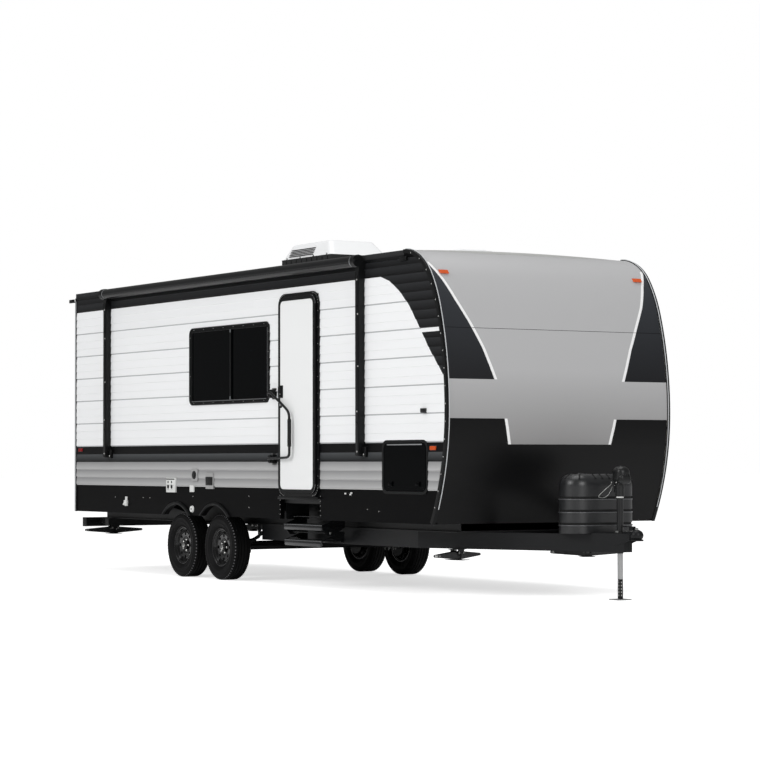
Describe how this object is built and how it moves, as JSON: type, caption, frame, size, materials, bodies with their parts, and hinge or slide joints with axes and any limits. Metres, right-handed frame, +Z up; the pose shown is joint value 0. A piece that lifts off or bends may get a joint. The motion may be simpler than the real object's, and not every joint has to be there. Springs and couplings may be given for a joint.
{
  "type": "travel caravan",
  "caption": "Towed travel caravan with ribbed siding, rounded nose, entry door, folding steps, rolled awning, tandem axles, A-frame tongue, jack and corner stabilisers.",
  "frame": {"origin": "on the ground, on the centreline, under the middle of the tongue jack's foot", "axes": "+X forward to the hitch, +Y left, +Z up"},
  "size_m": [8.908, 2.5929, 3.442],
  "materials": {
    "awning_black": "black powder coat",
    "awning_cloth": "rolled vinyl cloth",
    "cap_gel": "smooth gloss panel, grey and black",
    "cover_plastic": "moulded black plastic",
    "door_white": "smooth white skin",
    "fitting_plastic": "white plastic",
    "floor_board": "decked floor panel",
    "frame_black": "satin black chassis paint",
    "hatch_black": "gloss black",
    "jack_black": "textured black",
    "jack_bright": "zinc plated tube",
    "lamp_amber": "amber lens",
    "lamp_red": "red lens",
    "roof_membrane": "matt roof membrane",
    "siding_white": "ribbed prepainted aluminium siding",
    "spring_steel": "black spring steel",
    "stabiliser_black": "black",
    "step_black": "black step steel",
    "trim_black": "satin black aluminium",
    "trim_bright": "mill finish extrusion",
    "tyre_black": "black rubber",
    "unit_white": "white moulding",
    "wheel_black": "black wheel paint",
    "window_glass": "dark safety glass"
  },
  "bodies": {
    "trailer": {"side_wall_right": "siding_white", "side_wall_left": "siding_white", "front_cap": "cap_gel", "rear_wall": "siding_white", "roof": "roof_membrane", "floor": "floor_board", "axles": "frame_black", "leaf_springs": "spring_steel", "coupler": "frame_black", "tongue_jack": "jack_black", "bottle_cover": "cover_plastic", "chassis": "frame_black", "tongue_frame": "frame_black", "window_frames": "trim_black", "window_glass": "window_glass", "door_frames": "trim_black", "awning_arms": "awning_black", "awning_roller": "awning_cloth", "corner_trims": "trim_bright", "roof_units": "unit_white", "amber_lamps": "lamp_amber", "red_lamps": "lamp_red", "service_fittings": "fitting_plastic"},
    "wheel_rear_left": {"wheel_rear_left": "wheel_black", "tyre_rear_left": "tyre_black"},
    "wheel_rear_right": {"wheel_rear_right": "wheel_black", "tyre_rear_right": "tyre_black"},
    "wheel_front_left": {"wheel_front_left": "wheel_black", "tyre_front_left": "tyre_black"},
    "wheel_front_right": {"wheel_front_right": "wheel_black", "tyre_front_right": "tyre_black"},
    "entry_door": {"entry_door": "door_white", "assist_rail": "trim_black"},
    "baggage_door_right": {"baggage_door_right": "hatch_black"},
    "baggage_door_left": {"baggage_door_left": "hatch_black"},
    "tongue_jack_leg": {"tongue_jack_leg": "jack_bright"},
    "step_bars_upper": {"step_bars_upper": "step_black"},
    "step_tread_upper": {"step_tread_upper": "step_black"},
    "step_bars_lower": {"step_bars_lower": "step_black"},
    "step_tread_lower": {"step_tread_lower": "step_black"},
    "stabiliser_rear_right_upper_outer": {"stabiliser_rear_right_upper_outer": "stabiliser_black"},
    "stabiliser_rear_right_lower_outer": {"stabiliser_rear_right_lower_outer": "stabiliser_black"},
    "stabiliser_rear_right_foot": {"stabiliser_rear_right_foot": "stabiliser_black"},
    "stabiliser_rear_right_upper_inner": {"stabiliser_rear_right_upper_inner": "stabiliser_black"},
    "stabiliser_rear_right_lower_inner": {"stabiliser_rear_right_lower_inner": "stabiliser_black"},
    "stabiliser_rear_left_upper_outer": {"stabiliser_rear_left_upper_outer": "stabiliser_black"},
    "stabiliser_rear_left_lower_outer": {"stabiliser_rear_left_lower_outer": "stabiliser_black"},
    "stabiliser_rear_left_foot": {"stabiliser_rear_left_foot": "stabiliser_black"},
    "stabiliser_rear_left_upper_inner": {"stabiliser_rear_left_upper_inner": "stabiliser_black"},
    "stabiliser_rear_left_lower_inner": {"stabiliser_rear_left_lower_inner": "stabiliser_black"},
    "stabiliser_front_right_upper_outer": {"stabiliser_front_right_upper_outer": "stabiliser_black"},
    "stabiliser_front_right_lower_outer": {"stabiliser_front_right_lower_outer": "stabiliser_black"},
    "stabiliser_front_right_foot": {"stabiliser_front_right_foot": "stabiliser_black"},
    "stabiliser_front_right_upper_inner": {"stabiliser_front_right_upper_inner": "stabiliser_black"},
    "stabiliser_front_right_lower_inner": {"stabiliser_front_right_lower_inner": "stabiliser_black"},
    "stabiliser_front_left_upper_outer": {"stabiliser_front_left_upper_outer": "stabiliser_black"},
    "stabiliser_front_left_lower_outer": {"stabiliser_front_left_lower_outer": "stabiliser_black"},
    "stabiliser_front_left_foot": {"stabiliser_front_left_foot": "stabiliser_black"},
    "stabiliser_front_left_upper_inner": {"stabiliser_front_left_upper_inner": "stabiliser_black"},
    "stabiliser_front_left_lower_inner": {"stabiliser_front_left_lower_inner": "stabiliser_black"}
  },
  "joints": [
    {"name": "spin_rear_left", "type": "hinge", "parent": "trailer", "child": "wheel_rear_left", "pos_m": [-5.9854, 1.0725, 0.33], "axis": [0, 1, 0], "continuous": true},
    {"name": "spin_rear_right", "type": "hinge", "parent": "trailer", "child": "wheel_rear_right", "pos_m": [-5.9854, -1.0725, 0.33], "axis": [0, 1, 0], "continuous": true},
    {"name": "spin_front_left", "type": "hinge", "parent": "trailer", "child": "wheel_front_left", "pos_m": [-5.1414, 1.0725, 0.33], "axis": [0, 1, 0], "continuous": true},
    {"name": "spin_front_right", "type": "hinge", "parent": "trailer", "child": "wheel_front_right", "pos_m": [-5.1414, -1.0725, 0.33], "axis": [0, 1, 0], "continuous": true},
    {"name": "entry_door_swing", "type": "hinge", "parent": "trailer", "child": "entry_door", "pos_m": [-3.06556, -1.257, 0.897], "axis": [0, 0, 1], "range_deg": [0, 165]},
    {"name": "baggage_door_right_lift", "type": "hinge", "parent": "trailer", "child": "baggage_door_right", "pos_m": [-1.5395, -1.229, 1.358], "axis": [-1, 0, 0], "range_deg": [0, 165]},
    {"name": "baggage_door_left_lift", "type": "hinge", "parent": "trailer", "child": "baggage_door_left", "pos_m": [-1.5395, 1.229, 1.358], "axis": [1, 0, 0], "range_deg": [0, 165]},
    {"name": "tongue_jack_slide", "type": "slide", "parent": "trailer", "child": "tongue_jack_leg", "axis": [0, 0, 1], "range_m": [-0.1, 0.33]},
    {"name": "entry_steps_swing", "type": "hinge", "parent": "trailer", "child": "step_bars_upper", "pos_m": [-3.41556, -1.1, 0.67], "axis": [-1, 0, 0], "range_deg": [0, 150]},
    {"name": "step_tread_upper_level", "type": "hinge", "parent": "step_bars_upper", "child": "step_tread_upper", "pos_m": [-3.41556, -0.95002, 0.66738], "axis": [-1, 0, 0], "range_deg": [-150, 0]},
    {"name": "step_bars_lower_swing", "type": "hinge", "parent": "step_tread_upper", "child": "step_bars_lower", "pos_m": [-3.41556, -1.1, 0.52], "axis": [-1, 0, 0], "range_deg": [0, 150]},
    {"name": "step_tread_lower_level", "type": "hinge", "parent": "step_bars_lower", "child": "step_tread_lower", "pos_m": [-3.41556, -0.95002, 0.51738], "axis": [-1, 0, 0], "range_deg": [-150, 0]},
    {"name": "stabiliser_rear_right_lower", "type": "hinge", "parent": "trailer", "child": "stabiliser_rear_right_upper_outer", "pos_m": [-8.1655, -0.926, 0.461], "axis": [1, 0, 0], "range_deg": [0, 42]},
    {"name": "stabiliser_rear_right_outer_knee", "type": "hinge", "parent": "stabiliser_rear_right_upper_outer", "child": "stabiliser_rear_right_lower_outer", "pos_m": [-8.1655, -1.22009, 0.43785], "axis": [1, 0, 0], "range_deg": [-84, 0]},
    {"name": "stabiliser_rear_right_foot_level", "type": "hinge", "parent": "stabiliser_rear_right_lower_outer", "child": "stabiliser_rear_right_foot", "pos_m": [-8.1655, -0.926, 0.41471], "axis": [1, 0, 0], "range_deg": [0, 42]},
    {"name": "stabiliser_rear_right_inner_hip", "type": "hinge", "parent": "trailer", "child": "stabiliser_rear_right_upper_inner", "pos_m": [-8.1655, -0.854, 0.461], "axis": [1, 0, 0], "range_deg": [-42, 0]},
    {"name": "stabiliser_rear_right_inner_knee", "type": "hinge", "parent": "stabiliser_rear_right_upper_inner", "child": "stabiliser_rear_right_lower_inner", "pos_m": [-8.1655, -0.55991, 0.43785], "axis": [1, 0, 0], "range_deg": [0, 84]},
    {"name": "stabiliser_rear_left_lower", "type": "hinge", "parent": "trailer", "child": "stabiliser_rear_left_upper_outer", "pos_m": [-8.1655, 0.926, 0.461], "axis": [-1, 0, 0], "range_deg": [0, 42]},
    {"name": "stabiliser_rear_left_outer_knee", "type": "hinge", "parent": "stabiliser_rear_left_upper_outer", "child": "stabiliser_rear_left_lower_outer", "pos_m": [-8.1655, 1.22009, 0.43785], "axis": [-1, 0, 0], "range_deg": [-84, 0]},
    {"name": "stabiliser_rear_left_foot_level", "type": "hinge", "parent": "stabiliser_rear_left_lower_outer", "child": "stabiliser_rear_left_foot", "pos_m": [-8.1655, 0.926, 0.41471], "axis": [-1, 0, 0], "range_deg": [0, 42]},
    {"name": "stabiliser_rear_left_inner_hip", "type": "hinge", "parent": "trailer", "child": "stabiliser_rear_left_upper_inner", "pos_m": [-8.1655, 0.854, 0.461], "axis": [-1, 0, 0], "range_deg": [-42, 0]},
    {"name": "stabiliser_rear_left_inner_knee", "type": "hinge", "parent": "stabiliser_rear_left_upper_inner", "child": "stabiliser_rear_left_lower_inner", "pos_m": [-8.1655, 0.55991, 0.43785], "axis": [-1, 0, 0], "range_deg": [0, 84]},
    {"name": "stabiliser_front_right_lower", "type": "hinge", "parent": "trailer", "child": "stabiliser_front_right_upper_outer", "pos_m": [-1.44116, -0.75363, 0.379], "axis": [0.9172, 0.3984, 0], "range_deg": [0, 42]},
    {"name": "stabiliser_front_right_outer_knee", "type": "hinge", "parent": "stabiliser_front_right_upper_outer", "child": "stabiliser_front_right_lower_outer", "pos_m": [-1.324, -1.02337, 0.35585], "axis": [0.9172, 0.3984, 0], "range_deg": [-84, 0]},
    {"name": "stabiliser_front_right_foot_level", "type": "hinge", "parent": "stabiliser_front_right_lower_outer", "child": "stabiliser_front_right_foot", "pos_m": [-1.44116, -0.75363, 0.33271], "axis": [0.9172, 0.3984, 0], "range_deg": [0, 42]},
    {"name": "stabiliser_front_right_inner_hip", "type": "hinge", "parent": "trailer", "child": "stabiliser_front_right_upper_inner", "pos_m": [-1.46984, -0.68759, 0.379], "axis": [0.9172, 0.3984, 0], "range_deg": [-42, 0]},
    {"name": "stabiliser_front_right_inner_knee", "type": "hinge", "parent": "stabiliser_front_right_upper_inner", "child": "stabiliser_front_right_lower_inner", "pos_m": [-1.587, -0.41784, 0.35585], "axis": [0.9172, 0.3984, 0], "range_deg": [0, 84]},
    {"name": "stabiliser_front_left_lower", "type": "hinge", "parent": "trailer", "child": "stabiliser_front_left_upper_outer", "pos_m": [-1.44116, 0.75363, 0.379], "axis": [-0.9172, 0.3984, 0], "range_deg": [0, 42]},
    {"name": "stabiliser_front_left_outer_knee", "type": "hinge", "parent": "stabiliser_front_left_upper_outer", "child": "stabiliser_front_left_lower_outer", "pos_m": [-1.324, 1.02337, 0.35585], "axis": [-0.9172, 0.3984, 0], "range_deg": [-84, 0]},
    {"name": "stabiliser_front_left_foot_level", "type": "hinge", "parent": "stabiliser_front_left_lower_outer", "child": "stabiliser_front_left_foot", "pos_m": [-1.44116, 0.75363, 0.33271], "axis": [-0.9172, 0.3984, 0], "range_deg": [0, 42]},
    {"name": "stabiliser_front_left_inner_hip", "type": "hinge", "parent": "trailer", "child": "stabiliser_front_left_upper_inner", "pos_m": [-1.46984, 0.68759, 0.379], "axis": [-0.9172, 0.3984, 0], "range_deg": [-42, 0]},
    {"name": "stabiliser_front_left_inner_knee", "type": "hinge", "parent": "stabiliser_front_left_upper_inner", "child": "stabiliser_front_left_lower_inner", "pos_m": [-1.587, 0.41784, 0.35585], "axis": [-0.9172, 0.3984, 0], "range_deg": [0, 84]}
  ],
  "couplings": [
    {"joint": "step_tread_upper_level", "follows": "entry_steps_swing", "ratio": -1},
    {"joint": "step_bars_lower_swing", "follows": "entry_steps_swing", "ratio": 1},
    {"joint": "step_tread_lower_level", "follows": "entry_steps_swing", "ratio": -1},
    {"joint": "stabiliser_rear_right_outer_knee", "follows": "stabiliser_rear_right_lower", "ratio": -2},
    {"joint": "stabiliser_rear_right_foot_level", "follows": "stabiliser_rear_right_lower", "ratio": 1},
    {"joint": "stabiliser_rear_right_inner_hip", "follows": "stabiliser_rear_right_lower", "ratio": -1},
    {"joint": "stabiliser_rear_right_inner_knee", "follows": "stabiliser_rear_right_lower", "ratio": 2},
    {"joint": "stabiliser_rear_left_outer_knee", "follows": "stabiliser_rear_left_lower", "ratio": -2},
    {"joint": "stabiliser_rear_left_foot_level", "follows": "stabiliser_rear_left_lower", "ratio": 1},
    {"joint": "stabiliser_rear_left_inner_hip", "follows": "stabiliser_rear_left_lower", "ratio": -1},
    {"joint": "stabiliser_rear_left_inner_knee", "follows": "stabiliser_rear_left_lower", "ratio": 2},
    {"joint": "stabiliser_front_right_outer_knee", "follows": "stabiliser_front_right_lower", "ratio": -2},
    {"joint": "stabiliser_front_right_foot_level", "follows": "stabiliser_front_right_lower", "ratio": 1},
    {"joint": "stabiliser_front_right_inner_hip", "follows": "stabiliser_front_right_lower", "ratio": -1},
    {"joint": "stabiliser_front_right_inner_knee", "follows": "stabiliser_front_right_lower", "ratio": 2},
    {"joint": "stabiliser_front_left_outer_knee", "follows": "stabiliser_front_left_lower", "ratio": -2},
    {"joint": "stabiliser_front_left_foot_level", "follows": "stabiliser_front_left_lower", "ratio": 1},
    {"joint": "stabiliser_front_left_inner_hip", "follows": "stabiliser_front_left_lower", "ratio": -1},
    {"joint": "stabiliser_front_left_inner_knee", "follows": "stabiliser_front_left_lower", "ratio": 2}
  ]
}
